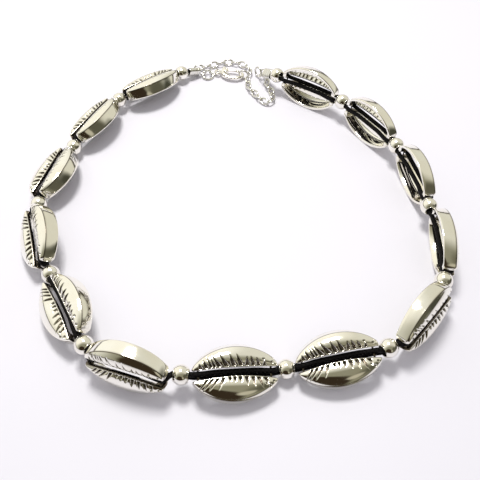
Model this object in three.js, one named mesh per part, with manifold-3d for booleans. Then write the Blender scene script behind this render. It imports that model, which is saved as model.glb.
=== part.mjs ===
// Beaded choker: thirteen cast cowrie shells and fourteen round spacer beads threaded on two
// black cords, closed at the back by a lobster clasp and an extender chain.
// Millimetres, +Z up. The choker lies on the plane z = 0 as an open loop, wearer's neck in the middle.

import * as THREE from "three";
import { mergeVertices } from "three/addons/utils/BufferGeometryUtils.js";
import Module from "manifold-3d";

const wasm = await Module();
wasm.setup();

// ---------------------------------------------------------------- driving dimensions

// A cowrie in its own frame: x along the thread, y across, z out of its toothed face.
const COWRIE = {
  length: 19.7,
  outlineLength: 21.2, // the oval outline would close here; the tips are cut off before it
  backHalfWidth: 6.75,
  edgeHalfWidth: 6.05,
  backZ: -1.0, // plane of the open back's rim
  edgeZ: 2.5, // where the side wall meets the face
  tipFall: 0.4, // how much lower that edge lies at the tips
  crown: 1.1, // height of the lips' ridges over that edge
  wall: 1.0,
  cavityHalfLength: 8.2,
  leftTipPower: 0.68, // smaller power, rounder tip
  rightTipPower: 0.58,
};
// The slit between the lips lies off the middle. It is wider at its tips, where it bows to the other side.
const APERTURE = {
  halfWidth: 1.0, leftTipHalfWidth: 1.2, rightTipHalfWidth: 1.3, middleY: 0.45, tipY: -0.15, floorZ: 0.85,
};
// At each tip a thin bridge stands between the two strands, with a notch behind it and open metal beyond it.
const BRIDGE = { fromX: 7.7, toX: 9.15, backZ: 0.25, notchHalfWidth: 1.0 };

const SPACER = { radius: 2.3, halfLength: 1.75, holeRadius: 1.5, sides: 14, arcSteps: 5 };

const CORD = { radius: 0.54, sides: 8, halfPitch: 0.66 }; // two strands side by side
// Each strand's height and sideways offset in a cowrie, at its bridges and in its hollow, where
// both strands are shifted towards the middle of the slit.
const CORD_IN_COWRIE = {
  bridgeFromX: 8.0, bridgeToX: 9.25, bridgeY: 0.3, midX: 4.5, midY: 0.35, midShift: 0.22,
};
const BACK_STRAND = { side: -1, bridgeZ: -0.55, midZ: -0.1 };
const FACE_STRAND = { side: 1, bridgeZ: 1.6, midZ: 1.35 };

const CORD_END = { length: 4.2, halfWidth: 1.7, halfHeight: 1.05, wall: 0.3, depth: 3.4 };
const END_LOOP = { radius: 1.2, wire: 0.22 };
const JUMP_RING = { radius: 1.75, wire: 0.32 };
const CONNECTOR = { radius: 1.5, wire: 0.22 };
const RIGHT_RING = { radius: 1.6, wire: 0.3 };
const HOOKED_LINK = { radius: 1.55, wire: 0.28 };

const CHAIN = { radius: 1.1, sides: 8 };

// The clasp in its own frame: x to the nose, y to the lever's side, z = 0 its middle plane.
const CLASP = {
  z: 1.35,
  halfLength: 4.1,
  halfWidth: 2.6,
  hookHalfThickness: 0.42,
  tailHalfThickness: 1.0,
  tailEndX: -1.7,
  cheek: 0.35,
  eye: { x: -5.2, radius: 1.2, hole: 0.62, halfThickness: 0.4 },
  opening: { x: 0.25, y: 0.2, halfLength: 2.95, halfWidth: 1.35 },
  pivot: { x: -2.7, y: 1.25, pin: 0.28, hole: 0.46, boss: 0.85 },
  lever: { tipX: 1.95, halfThickness: 0.42, band: 0.9 },
};

// Centres of the spacer beads, in order round the loop from the clasp's end.
const THREAD = [
  { x: -17.9, y: 53.7, z: 3.2 },
  { x: -37.2, y: 38.9, z: 4.0 },
  { x: -48.5, y: 17.4, z: 3.7 },
  { x: -54.2, y: -6.2, z: 4.6 },
  { x: -46.6, y: -29.3, z: 4.2 },
  { x: -34.4, y: -50.3, z: 5.9 },
  { x: -11.3, y: -57.7, z: 5.8 },
  { x: 12.8, y: -55.1, z: 3.2 },
  { x: 36.7, y: -51.0, z: 5.9 },
  { x: 52.9, y: -33.0, z: 6.7 },
  { x: 53.9, y: -8.7, z: 6.8 },
  { x: 48.6, y: 15.0, z: 6.7 },
  { x: 34.6, y: 34.9, z: 6.6 },
  { x: 14.4, y: 48.4, z: 6.4 },
];

// How each cowrie has rolled about the thread, in degrees from face outward (0) to face up (90),
// and how far it has slipped outward on the slack cords.
const ROLLS = [
  { roll: 64, slip: -0.5 },
  { roll: 60, slip: 0.25 },
  { roll: 64, slip: 0.5 },
  { roll: 45, slip: 0.7 },
  { roll: 58, slip: 0 },
  { roll: 15, slip: 1.8 },
  { roll: 66, slip: 0.5 },
  { roll: 66, slip: 0.3 },
  { roll: 15, slip: 1.2 },
  { roll: 3, slip: 1.0 },
  { roll: 0, slip: 0.3 },
  { roll: -6, slip: 0 },
  { roll: -9, slip: -0.2 },
];

// Where the two cord ends start and stop.
const END_LEFT = { from: [-15.64, 54.69, 2.7], to: [-12.04, 56.59, 1.6] };
const END_RIGHT = { from: [12.81, 50.24, 5.35], to: [10.31, 53.19, 3.65] };

// The extender chain: a front loop from the right cord end to the clasp, then the free tail.
const EXTENDER_LOOP_ROUTE = [
  [10.36, 55.19, 1.15], [11.06, 53.94, 1.15], [11.26, 52.04, 1.15], [11.36, 49.64, 1.15], [12.56, 47.24, 1.15],
  [13.06, 44.44, 1.15], [12.66, 42.04, 1.15], [11.06, 40.84, 1.15], [9.36, 42.14, 1.15], [7.96, 44.24, 1.15],
  [6.46, 46.34, 1.15], [5.16, 48.64, 1.15], [4.56, 51.14, 1.2], [4.96, 53.84, 1.3],
];
const EXTENDER_TAIL_ROUTE = [
  [5.01, 55.14, 1.3], [5.46, 56.84, 1.15], [5.36, 58.84, 1.15], [3.86, 60.64, 1.15], [1.16, 62.14, 1.15],
  [-2.04, 62.44, 1.15], [-5.14, 61.84, 1.15], [-8.14, 60.54, 1.15], [-10.94, 59.54, 1.15], [-13.84, 59.14, 1.15],
];

// ---------------------------------------------------------------- materials

const silver = () => new THREE.MeshStandardMaterial({ color: 0xd9d6c8, roughness: 0.12, metalness: 1 });
const blackCord = () => new THREE.MeshStandardMaterial({ color: 0x0d0c0d, roughness: 0.75, metalness: 0 });

// ---------------------------------------------------------------- geometry helpers

// The geometry as a manifold-3d solid.
function solid(geometry) {
  const bare = geometry.index ? geometry.toNonIndexed() : geometry.clone();
  bare.deleteAttribute("normal");
  bare.deleteAttribute("uv");
  const merged = mergeVertices(bare, 1e-4);
  return new wasm.Manifold(new wasm.Mesh({
    numProp: 3,
    vertProperties: merged.attributes.position.array,
    triVerts: new Uint32Array(merged.index.array),
  }));
}

// A manifold-3d solid as a geometry.
function geometryOf(body) {
  const mesh = body.getMesh();
  const geometry = new THREE.BufferGeometry();
  geometry.setAttribute("position", new THREE.BufferAttribute(mesh.vertProperties, 3));
  geometry.setIndex(new THREE.BufferAttribute(mesh.triVerts, 1));
  return geometry;
}

// A closed loft through equal rings of points: sides between rings, and a fan over each end.
function loft(rings) {
  const count = rings[0].length;
  const middle = (ring) => ring.reduce((sum, p) => sum.add(p), new THREE.Vector3()).divideScalar(count);
  const points = [...rings.flat(), middle(rings[0]), middle(rings.at(-1))];
  const [first, last] = [points.length - 2, points.length - 1];
  const faces = [];
  for (let i = 0; i < rings.length - 1; i++)
    for (let j = 0; j < count; j++) {
      const [a, b] = [i * count + j, i * count + ((j + 1) % count)];
      faces.push(a, b, b + count, a, b + count, a + count);
    }
  for (let j = 0; j < count; j++) {
    const next = (j + 1) % count;
    const end = (rings.length - 1) * count;
    faces.push(first, next, j, last, end + j, end + next);
  }
  return new THREE.BufferGeometry().setFromPoints(points).setIndex(faces);
}

// A flat shape in x and y given a thickness in z, centred on z = middle.
function slab(shape, halfThickness, middle = 0, curveSegments = 10) {
  const geometry = new THREE.ExtrudeGeometry(shape, {
    depth: 2 * halfThickness, bevelEnabled: false, steps: 1, curveSegments,
  });
  return geometry.translate(0, 0, middle - halfThickness);
}

function rectangle(x0, x1, y0, y1) {
  return new THREE.Shape([[x0, y0], [x1, y0], [x1, y1], [x0, y1]].map(([x, y]) => new THREE.Vector2(x, y)));
}

function disc(x, y, radius) {
  return new THREE.Shape().absarc(x, y, radius, 0, 2 * Math.PI, false);
}

function ellipse(x, y, halfLength, halfWidth) {
  return new THREE.Shape().absellipse(x, y, halfLength, halfWidth, 0, 2 * Math.PI, false, 0);
}

// A path whose steps fall exactly on its vertices, so a tube keeps to its clearances.
class VertexPath extends THREE.Curve {
  constructor(vertices) {
    super();
    this.vertices = vertices;
  }
  getPoint(t, target = new THREE.Vector3()) {
    const place = t * (this.vertices.length - 1);
    const i = Math.min(Math.floor(place + 1e-9), this.vertices.length - 2);
    return target.lerpVectors(this.vertices[i], this.vertices[i + 1], place - i);
  }
  getPointAt(u, target) {
    return this.getPoint(u, target);
  }
  getTangentAt(u, target = new THREE.Vector3()) {
    const last = this.vertices.length - 1;
    const i = Math.round(u * last);
    return target.subVectors(this.vertices[Math.min(i + 1, last)], this.vertices[Math.max(i - 1, 0)]).normalize();
  }
  getSpacedPoints(steps) {
    return Array.from({ length: steps + 1 }, (_, i) => this.getPoint(i / steps));
  }
}

function tube(vertices, radius, sides) {
  const corners = Array.from({ length: sides }, (_, i) => {
    const angle = (2 * Math.PI * i) / sides;
    return new THREE.Vector2(radius * Math.cos(angle), radius * Math.sin(angle));
  });
  return new THREE.ExtrudeGeometry(new THREE.Shape(corners), {
    steps: vertices.length - 1, bevelEnabled: false, extrudePath: new VertexPath(vertices),
  });
}

// Places a geometry by the directions its own x and y point to, and its origin.
function place(geometry, origin, xDirection, yDirection) {
  const x = xDirection.clone().normalize();
  const z = x.clone().cross(yDirection).normalize();
  const basis = new THREE.Matrix4().makeBasis(x, z.clone().cross(x), z).setPosition(origin);
  return geometry.applyMatrix4(basis);
}

const vector = (point) => new THREE.Vector3(...point);
const UP = new THREE.Vector3(0, 0, 1);

const root = new THREE.Group();
function add(name, geometry, material) {
  const mesh = new THREE.Mesh(geometry, material);
  mesh.name = name;
  root.add(mesh);
  return mesh;
}

// ---------------------------------------------------------------- the cowrie

// The oval's half-width at x, as a share of its widest.
function ovalShare(x) {
  const u = x / (COWRIE.outlineLength / 2);
  return (1 - u * u) ** (u < 0 ? COWRIE.leftTipPower : COWRIE.rightTipPower);
}

// Outer or inner section at x, anticlockwise seen from +x: the wall, then the two lips with a valley between.
function cowrieSection(x, inset, floorZ) {
  const share = ovalShare(x);
  const back = COWRIE.backHalfWidth * share - inset;
  const edge = COWRIE.edgeHalfWidth * share - inset;
  const rimZ = COWRIE.edgeZ - COWRIE.tipFall * (2 * x / COWRIE.length) ** 2;
  const ridgeZ = rimZ + COWRIE.crown * share - inset;
  const edgeZ = rimZ - 0.3 * inset;
  return [
    [-back, floorZ], [back, floorZ], [edge, edgeZ], [0.8 * edge, edgeZ + 0.7 * (ridgeZ - edgeZ)],
    [0.5 * edge, ridgeZ], [0.2 * edge, edgeZ + 0.2 * (ridgeZ - edgeZ)], [-0.2 * edge, edgeZ + 0.2 * (ridgeZ - edgeZ)],
    [-0.5 * edge, ridgeZ], [-0.8 * edge, edgeZ + 0.7 * (ridgeZ - edgeZ)], [-edge, edgeZ],
  ].map(([y, z]) => new THREE.Vector3(x, y, z));
}

// Stations along the thread, closer together towards the tips.
function stations(halfLength, count) {
  return Array.from({ length: count }, (_, i) => -halfLength * Math.cos((Math.PI * i) / (count - 1)));
}

// The two edges of the slit between the lips at x.
function slitEdges(x) {
  const { halfWidth, leftTipHalfWidth, rightTipHalfWidth, middleY, tipY } = APERTURE;
  const share = (2 * x / COWRIE.length) ** 2;
  const reach = halfWidth + ((x < 0 ? leftTipHalfWidth : rightTipHalfWidth) - halfWidth) * share;
  const middle = middleY + (tipY - middleY) * share;
  return [middle - reach, middle + reach];
}

// The slit seen from the face, out past both tips.
function apertureShape(tip) {
  const count = 10;
  const xs = Array.from({ length: count }, (_, i) => -tip + (2 * tip * i) / (count - 1));
  const edge = (k) => xs.map((x) => new THREE.Vector2(x, slitEdges(x)[k]));
  return new THREE.Shape([...edge(0), ...edge(1).reverse()]);
}

function cowrieGeometry() {
  const half = COWRIE.length / 2;
  const { fromX, toX, backZ, notchHalfWidth } = BRIDGE;
  const tip = half + 0.5; // past the end of the metal
  const depth = 5; // past the metal above and below
  const notch = (x0, x1) => solid(slab(rectangle(x0, x1, -notchHalfWidth, notchHalfWidth), depth, backZ - depth));
  let body = solid(loft(stations(half, 11).map((x) => cowrieSection(x, 0, COWRIE.backZ))));
  const cavity = loft(stations(COWRIE.cavityHalfLength, 7)
    .map((x) => cowrieSection(x, COWRIE.wall, COWRIE.backZ - 1)));
  body = body.subtract(solid(cavity));
  body = body.subtract(solid(slab(apertureShape(tip), depth, APERTURE.floorZ + depth)));
  body = body.subtract(notch(fromX, toX)).subtract(notch(-toX, -fromX));
  const widerByTip = 0.03; // so that the tips' cuts and the slit share no wall
  for (const end of [-1, 1]) {
    const [low, high] = slitEdges(end * tip);
    const [x0, x1] = [end * toX, end * tip].sort((a, b) => a - b);
    body = body.subtract(solid(slab(rectangle(x0, x1, low - widerByTip, high + widerByTip), depth)));
  }
  return geometryOf(body);
}

// ---------------------------------------------------------------- the spacer bead

function spacerGeometry() {
  const { radius, halfLength, holeRadius, sides, arcSteps } = SPACER;
  const openAngle = Math.acos(holeRadius / radius); // latitude at which the hole cuts the ball
  const profile = Array.from({ length: arcSteps + 1 }, (_, i) => {
    const latitude = -openAngle + (2 * openAngle * i) / arcSteps;
    const x = (halfLength * Math.sin(latitude)) / Math.sin(openAngle);
    return new THREE.Vector2(radius * Math.cos(latitude), x);
  });
  return new THREE.LatheGeometry([...profile, profile[0].clone()], sides).rotateZ(-Math.PI / 2);
}

// ---------------------------------------------------------------- threading

const beads = THREAD.map(({ x, y, z }) => new THREE.Vector3(x, y, z));
const LAST = beads.length - 1;

// Pose of each cowrie: origin on the thread, x along it, z out of its face.
const cowries = ROLLS.map(({ roll, slip }, i) => {
  const along = beads[i + 1].clone().sub(beads[i]).normalize();
  const outward = along.clone().cross(UP).normalize();
  const upright = outward.clone().cross(along);
  const angle = THREE.MathUtils.degToRad(roll);
  const face = outward.clone().multiplyScalar(Math.cos(angle)).addScaledVector(upright, Math.sin(angle));
  const across = face.clone().cross(along);
  const origin = beads[i].clone().lerp(beads[i + 1], 0.5).addScaledVector(outward, slip);
  return { origin, along, across, face };
});

// Direction of the thread through each spacer, and the direction in which its two strands lie.
const endDirection = [vector(END_LEFT.from).sub(vector(END_LEFT.to)), vector(END_RIGHT.to).sub(vector(END_RIGHT.from))];
const spacers = beads.map((centre, i) => {
  const before = i > 0 ? cowries[i - 1].along.clone() : endDirection[0].clone().normalize();
  const after = i < LAST ? cowries[i].along.clone() : endDirection[1].clone().normalize();
  const along = before.add(after).normalize();
  const split = new THREE.Vector3();
  for (const pose of [cowries[Math.max(i - 1, 0)], cowries[Math.min(i, LAST - 1)]])
    split.add(pose.face).add(pose.across);
  split.addScaledVector(along, -split.dot(along)).normalize();
  return { centre, along, split };
});

const cowrieShape = cowrieGeometry();
cowries.forEach((pose, i) => {
  const mesh = add(`cowrie_${String(i + 1).padStart(2, "0")}`, cowrieShape.clone(), silver());
  const turned = new THREE.Matrix4().makeBasis(pose.along, pose.across, pose.face);
  mesh.quaternion.setFromRotationMatrix(turned);
  mesh.position.copy(pose.origin);
  const lowest = new THREE.Box3().setFromObject(mesh, true).min.z;
  pose.origin.z += Math.max(0, -lowest); // a shell that would sink stands on the surface instead
  mesh.position.copy(pose.origin);
});

const spacerShape = spacerGeometry();
spacers.forEach(({ centre, along, split }, i) => {
  const mesh = add(`spacer_${String(i + 1).padStart(2, "0")}`, spacerShape.clone(), silver());
  mesh.quaternion.setFromRotationMatrix(new THREE.Matrix4().makeBasis(along, split, along.clone().cross(split)));
  mesh.position.copy(centre);
});

// One strand: side by side with the other through each spacer, behind or before the bridge at each
// cowrie's tip, and straight across its hollow.
function strandRoute({ side, bridgeZ, midZ }) {
  const { bridgeFromX, bridgeToX, bridgeY, midX, midY, midShift } = CORD_IN_COWRIE;
  const inCowrie = (pose, x, y, z) => pose.origin.clone()
    .addScaledVector(pose.along, x).addScaledVector(pose.across, y).addScaledVector(pose.face, z);
  const inSpacer = ({ centre, along, split }, x) => centre.clone()
    .addScaledVector(along, x).addScaledVector(split, side * CORD.halfPitch);
  const intoEnd = (end, spacer) => {
    const axis = vector(end.to).sub(vector(end.from)).normalize();
    const split = spacer.split.clone().addScaledVector(axis, -spacer.split.dot(axis)).normalize();
    return [0, CORD_END.depth - 0.4].map((x) => vector(end.from)
      .addScaledVector(axis, x).addScaledVector(split, side * CORD.halfPitch));
  };
  const route = [];
  spacers.forEach((spacer, i) => {
    route.push(inSpacer(spacer, -SPACER.halfLength), inSpacer(spacer, SPACER.halfLength));
    if (i === LAST) return;
    const half = [[bridgeToX, side * bridgeY, bridgeZ], [bridgeFromX, side * bridgeY, bridgeZ],
      [midX, side * midY + midShift, midZ]];
    route.push(...half.map(([x, y, z]) => inCowrie(cowries[i], -x, y, z)));
    route.push(...half.reverse().map(([x, y, z]) => inCowrie(cowries[i], x, y, z)));
  });
  return [...intoEnd(END_LEFT, spacers[0]).reverse(), ...route, ...intoEnd(END_RIGHT, spacers[LAST])];
}
add("cord_strand_back", tube(strandRoute(BACK_STRAND), CORD.radius, CORD.sides), blackCord());
add("cord_strand_face", tube(strandRoute(FACE_STRAND), CORD.radius, CORD.sides), blackCord());

// ---------------------------------------------------------------- cord ends, rings and chain

function ring({ radius, wire }, origin, xDirection, yDirection) {
  return place(new THREE.TorusGeometry(radius, wire, 6, 18), origin, xDirection, yDirection);
}

// The unit vector at a compass angle in the plane z = 0, from +x towards +y.
function heading(degrees) {
  const angle = THREE.MathUtils.degToRad(degrees);
  return new THREE.Vector3(Math.cos(angle), Math.sin(angle), 0);
}

// A flattened tube round both strands, closed at its far end, with a loop soldered there.
// The loop's plane holds loopAlong and loopAcross.
function cordEnd(end, split, loopAlong, loopAcross) {
  const { length, halfWidth, halfHeight, wall, depth } = CORD_END;
  const axis = vector(end.to).sub(vector(end.from)).normalize();
  const section = (inset) => {
    const [w, h] = [halfWidth - inset, halfHeight - inset];
    return new THREE.Shape().absarc(w - h, 0, h, -Math.PI / 2, Math.PI / 2, false)
      .absarc(h - w, 0, h, Math.PI / 2, (3 * Math.PI) / 2, false);
  };
  const outer = slab(section(0), length / 2, length / 2, 5);
  const bore = slab(section(wall), depth, 0, 5);
  const across = split.clone().addScaledVector(axis, -split.dot(axis)).normalize();
  const up = axis.clone().cross(across); // the extrusion runs along the axis, its x lies across
  [outer, bore].forEach((geometry) => place(geometry, vector(end.from), across, up));
  const loopCentre = vector(end.from).addScaledVector(axis, length)
    .addScaledVector(loopAlong, END_LOOP.radius - 0.05);
  const loop = ring(END_LOOP, loopCentre, loopAlong, loopAcross);
  return { geometry: geometryOf(solid(outer).subtract(solid(bore)).add(solid(loop))), loopCentre };
}

const leftEnd = cordEnd(END_LEFT, spacers[0].split, heading(-10), UP);
add("cord_end_left", leftEnd.geometry, silver());
const rightAxis = endDirection[1].clone().normalize();
const rightEnd = cordEnd(END_RIGHT, spacers[LAST].split, rightAxis, spacers[LAST].split);
add("cord_end_right", rightEnd.geometry, silver());

// The jump ring lies tilted, its front edge on the surface and its back edge raised by the two loops it holds.
const JUMP_TILT = THREE.MathUtils.degToRad(20);
const JUMP_OFFSET = { x: 1.9, y: -0.75 }; // from the left end's loop to the ring's centre
const jumpCentre = new THREE.Vector3(leftEnd.loopCentre.x + JUMP_OFFSET.x, leftEnd.loopCentre.y + JUMP_OFFSET.y,
  JUMP_RING.wire + JUMP_RING.radius * Math.sin(JUMP_TILT) + 0.02);
const jumpUp = new THREE.Vector3(0, Math.cos(JUMP_TILT), Math.sin(JUMP_TILT));
add("jump_ring_left", ring(JUMP_RING, jumpCentre, new THREE.Vector3(1, 0, 0), jumpUp), silver());

// The connector stands upright through the jump ring's right side and the clasp's eye.
const HELD_AT = THREE.MathUtils.degToRad(27); // where on the jump ring the connector hangs
const CONNECTOR_REACH = { jumpRing: 0.5, eye: 1.37 }; // from its centre to the metal it passes round
const connectorAlong = heading(10);
const connectorCentre = jumpCentre.clone()
  .add(new THREE.Vector3(JUMP_RING.radius * Math.cos(HELD_AT), 0, 0))
  .addScaledVector(jumpUp, JUMP_RING.radius * Math.sin(HELD_AT))
  .addScaledVector(connectorAlong, CONNECTOR_REACH.jumpRing);
connectorCentre.z = CONNECTOR.radius + CONNECTOR.wire + 0.02;
add("connector_ring", ring(CONNECTOR, connectorCentre, connectorAlong, UP), silver());

// The ring that joins the right cord end to the chain hangs from the end's loop.
const grip = END_LOOP.radius + RIGHT_RING.radius - END_LOOP.wire - RIGHT_RING.wire - 0.15;
const rightRingCentre = rightEnd.loopCentre.clone().addScaledVector(rightAxis, grip);
add("jump_ring_right", ring(RIGHT_RING, rightRingCentre, rightAxis, heading(20).cross(rightAxis)), silver());

// ---------------------------------------------------------------- the lobster clasp

// The clasp points along claspAlong.
const claspAlong = heading(-13);
const claspSide = UP.clone().cross(claspAlong);
const claspOrigin = connectorCentre.clone().addScaledVector(connectorAlong, CONNECTOR_REACH.eye)
  .addScaledVector(claspAlong, -CLASP.eye.x);
claspOrigin.z = CLASP.z;

// A ring-shaped hook with its lever's side cut away, a thicker tail with a slot for the lever, and an eye.
function claspBody() {
  const { halfLength, halfWidth, hookHalfThickness, tailHalfThickness, tailEndX, cheek, eye, opening, pivot } = CLASP;
  const hook = solid(slab(ellipse(0, 0, halfLength, halfWidth), hookHalfThickness, 0, 28));
  const tail = solid(slab(ellipse(0, 0, halfLength, halfWidth), tailHalfThickness, 0, 28))
    .subtract(solid(slab(rectangle(tailEndX, 9, -9, 9), 3)));
  const eyeRing = solid(slab(disc(eye.x, 0, eye.radius), eye.halfThickness, 0, 16))
    .subtract(solid(slab(disc(eye.x, 0, eye.hole), 3, 0, 12)));
  const inside = solid(slab(ellipse(opening.x, opening.y, opening.halfLength, opening.halfWidth), 3, 0, 24));
  const leverGap = solid(slab(rectangle(tailEndX - 0.3, CLASP.lever.tipX + 0.35, opening.y, 9), 3));
  const leverSlot = solid(slab(rectangle(-halfLength, tailEndX, pivot.y - pivot.boss - 0.2, 9),
    tailHalfThickness - cheek));
  const pin = solid(slab(disc(pivot.x, pivot.y, pivot.pin), tailHalfThickness - 0.05, 0, 8));
  return geometryOf(hook.add(tail).subtract(inside).subtract(leverGap).subtract(leverSlot).add(pin).add(eyeRing));
}

// The lever: a curved arm from its pivot to the hook's tip, with a thumb tab behind the pivot.
function claspLever() {
  const { halfLength, halfWidth, opening, pivot, lever } = CLASP;
  const rim = (grow) => ellipse(0, 0, halfLength + grow, halfWidth + grow);
  const arm = solid(slab(rim(-0.1), lever.halfThickness, 0, 28))
    .subtract(solid(slab(rim(-0.1 - lever.band), 3, 0, 28)))
    .subtract(solid(slab(rectangle(-9, 9, -9, opening.y + 0.6), 3)))
    .subtract(solid(slab(rectangle(lever.tipX, 9, -9, 9), 3)))
    .subtract(solid(slab(rectangle(-9, pivot.x - 0.2, -9, 9), 3)));
  const boss = solid(slab(disc(pivot.x, pivot.y, pivot.boss), lever.halfThickness, 0, 12));
  const tab = new THREE.Shape([[-0.5, 0.2], [0.6, 0.5], [-0.5, 1.9], [-1.5, 2.3], [-1.7, 1.6]]
    .map(([x, y]) => new THREE.Vector2(pivot.x + x, pivot.y + y)));
  const hole = solid(slab(disc(pivot.x, pivot.y, pivot.hole), 3, 0, 10));
  return geometryOf(arm.add(boss).add(solid(slab(tab, lever.halfThickness))).subtract(hole));
}
add("clasp_body", place(claspBody(), claspOrigin, claspAlong, claspSide), silver());
add("clasp_lever", place(claspLever(), claspOrigin, claspAlong, claspSide), silver());

// The chain link that the hook has caught stands upright round the clasp's nose.
const HOOKED_AT = 3.93; // from the clasp's middle along it
const hookedCentre = claspOrigin.clone().addScaledVector(claspAlong, HOOKED_AT);
hookedCentre.z = HOOKED_LINK.radius + HOOKED_LINK.wire + 0.02;
add("hooked_link", ring(HOOKED_LINK, hookedCentre, claspAlong, UP), silver());

// The fine extender chain as a solid tube of its links' width.
function chain(route) {
  const curve = new THREE.CatmullRomCurve3(route.map(vector));
  return tube(curve.getSpacedPoints(route.length), CHAIN.radius, CHAIN.sides);
}
add("extender_loop", chain(EXTENDER_LOOP_ROUTE), silver());
add("extender_tail", chain(EXTENDER_TAIL_ROUTE), silver());

export default root;
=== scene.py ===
# %% [markdown]
# # Beaded choker of cast cowrie shells
# Thirteen silver-coloured cowrie shells alternate with fourteen round spacer beads on two black
# braided cords, and a lobster clasp and an extender chain close the loop at the back. The CAD model
# gives every piece its place. This lesson puts a finer surface in the place of each CAD piece, works
# out each surface with numpy in millimetres, and turns millimetres into metres when the mesh is made.

# %% Load the fixed frame
import bpy
import numpy as np
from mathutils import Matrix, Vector


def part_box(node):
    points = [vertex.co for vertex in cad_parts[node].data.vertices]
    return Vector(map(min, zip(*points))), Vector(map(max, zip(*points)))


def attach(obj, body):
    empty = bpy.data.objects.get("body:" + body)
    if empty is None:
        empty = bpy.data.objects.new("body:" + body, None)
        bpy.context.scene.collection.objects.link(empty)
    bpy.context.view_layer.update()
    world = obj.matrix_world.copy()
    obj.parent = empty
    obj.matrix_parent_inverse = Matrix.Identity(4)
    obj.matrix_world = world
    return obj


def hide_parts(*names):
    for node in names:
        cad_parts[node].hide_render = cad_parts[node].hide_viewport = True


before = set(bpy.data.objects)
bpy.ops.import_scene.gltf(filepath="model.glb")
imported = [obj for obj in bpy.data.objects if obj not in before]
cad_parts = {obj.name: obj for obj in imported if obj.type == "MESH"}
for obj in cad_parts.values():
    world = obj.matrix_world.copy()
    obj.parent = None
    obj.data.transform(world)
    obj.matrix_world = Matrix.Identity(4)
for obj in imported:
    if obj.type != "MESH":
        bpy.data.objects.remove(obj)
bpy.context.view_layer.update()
scene = bpy.context.scene
MM = 0.001

# %% [markdown]
# ## Camera and table
# The choker lies on a pale table and is seen from the wearer's front, about 53 degrees above it. A
# camera is an object that looks along its own -Z, so it is turned until -Z points at the target.

# %% Camera
camera = bpy.data.objects.new("camera", bpy.data.cameras.new("camera"))
scene.collection.objects.link(camera)
camera.location = Vector((2.06, -114.96, 132.7)) * MM
target = Vector((2.06, -15.16, 0)) * MM
view = target - camera.location
camera.rotation_euler = view.to_track_quat("-Z", "Y").to_euler()
camera.data.lens = 45
camera.data.sensor_width = 36
camera.data.clip_start = 0.005
scene.camera = camera
print("camera looks down", round(np.degrees(np.arcsin(-view.z / view.length)), 1), "degrees")

# %% [markdown]
# ## A helper for shader nodes
# A material, a world and a node group are all trees of nodes. One helper adds a node, sets its
# options, and fills each input with a number, a colour or another node's output.

# %% Shader node helper
def node(tree, kind, inputs=None, **options):
    """Adds a node. Each entry of inputs gives a socket's name or number a value or another socket."""
    made = tree.nodes.new(kind)
    for option, value in options.items():
        setattr(made, option, value)
    for socket, value in (inputs or {}).items():
        if isinstance(value, bpy.types.NodeSocket):
            tree.links.new(value, made.inputs[socket])
        else:
            made.inputs[socket].default_value = value
    return made


def mix(tree, factor, first, second):
    """The colour first where factor is 0 and second where it is 1."""
    blend = node(tree, "ShaderNodeMix", {"Factor": factor}, data_type="RGBA")
    for socket, value in ((blend.inputs[6], first), (blend.inputs[7], second)):
        if isinstance(value, bpy.types.NodeSocket):
            tree.links.new(value, socket)
        else:
            socket.default_value = (*value, 1)
    return blend.outputs[2]


def between(tree, value, low, high, to_low=0.0, to_high=1.0):
    """value carried smoothly from the range low to high into the range to_low to to_high."""
    made = node(tree, "ShaderNodeMapRange", {"Value": value, "From Min": low, "From Max": high,
                "To Min": to_low, "To Max": to_high}, interpolation_type="SMOOTHSTEP")
    return made.outputs["Result"]


def maths(tree, operation, first, second=0.0):
    made = node(tree, "ShaderNodeMath", {0: first, 1: second}, operation=operation)
    return made.outputs[0]


def new_material(name):
    """An empty node material and its tree, with only the output node."""
    material = bpy.data.materials.new(name)
    material.use_nodes = True
    material.node_tree.nodes.clear()
    return material, material.node_tree

# %% [markdown]
# ## The studio
# Polished silver has almost no colour of its own: it shows what stands round it. So the studio is
# made before the metal. A cream-white tent stands behind and overhead, and a brighter card at its
# back left. On the camera's side the tent is open on a dim olive room, with a brown gap and two
# darker corners in it, and a narrow cream card between them. These zones are painted on the world
# by direction, as soft-edged patches, each over the ones before it. The table is lit by a plain pale
# sky instead, so that its colour doesn't come from the zones.

# %% World: a tent with soft zones
world = bpy.data.worlds.new("studio_tent")
scene.world = world
world.use_nodes = True
sky = world.node_tree
sky.nodes.clear()
direction = node(sky, "ShaderNodeTexCoord").outputs["Generated"]
TENT = (0.72, 0.705, 0.60)
BELOW_TABLE = (0.07, 0.06, 0.04)
TABLE_SKY = (0.52, 0.51, 0.54)
BACKDROP = (0.93, 0.93, 0.95)
# name: direction, degrees across which it is full, degrees at which it has faded out, colour
ZONES = {"bright card": ((-0.60, 0.55, 0.58), 25, 60, (1.05, 1.03, 0.92)),
         "olive room": ((0.15, -0.93, 0.33), 45, 80, (0.27, 0.26, 0.185)),
         "brown gap": ((-0.16, -0.94, 0.30), 26, 34, (0.035, 0.024, 0.014)),
         "right corner": ((0.74, -0.52, 0.42), 12, 30, (0.10, 0.095, 0.065)),
         "low corner": ((0.97, -0.05, 0.20), 8, 22, (0.06, 0.06, 0.042)),
         "cream card": ((0.40, -0.83, 0.40), 5, 10, (0.50, 0.47, 0.36))}


def patch(below, toward, inner, outer, colour):
    """Paints colour over below, within inner degrees of a direction and fading out at outer degrees."""
    axis = Vector(toward).normalized()
    facing = node(sky, "ShaderNodeVectorMath", {0: direction, 1: axis}, operation="DOT_PRODUCT")
    cover = between(sky, facing.outputs["Value"], np.cos(np.radians(outer)), np.cos(np.radians(inner)))
    return mix(sky, cover, below, colour)


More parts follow.
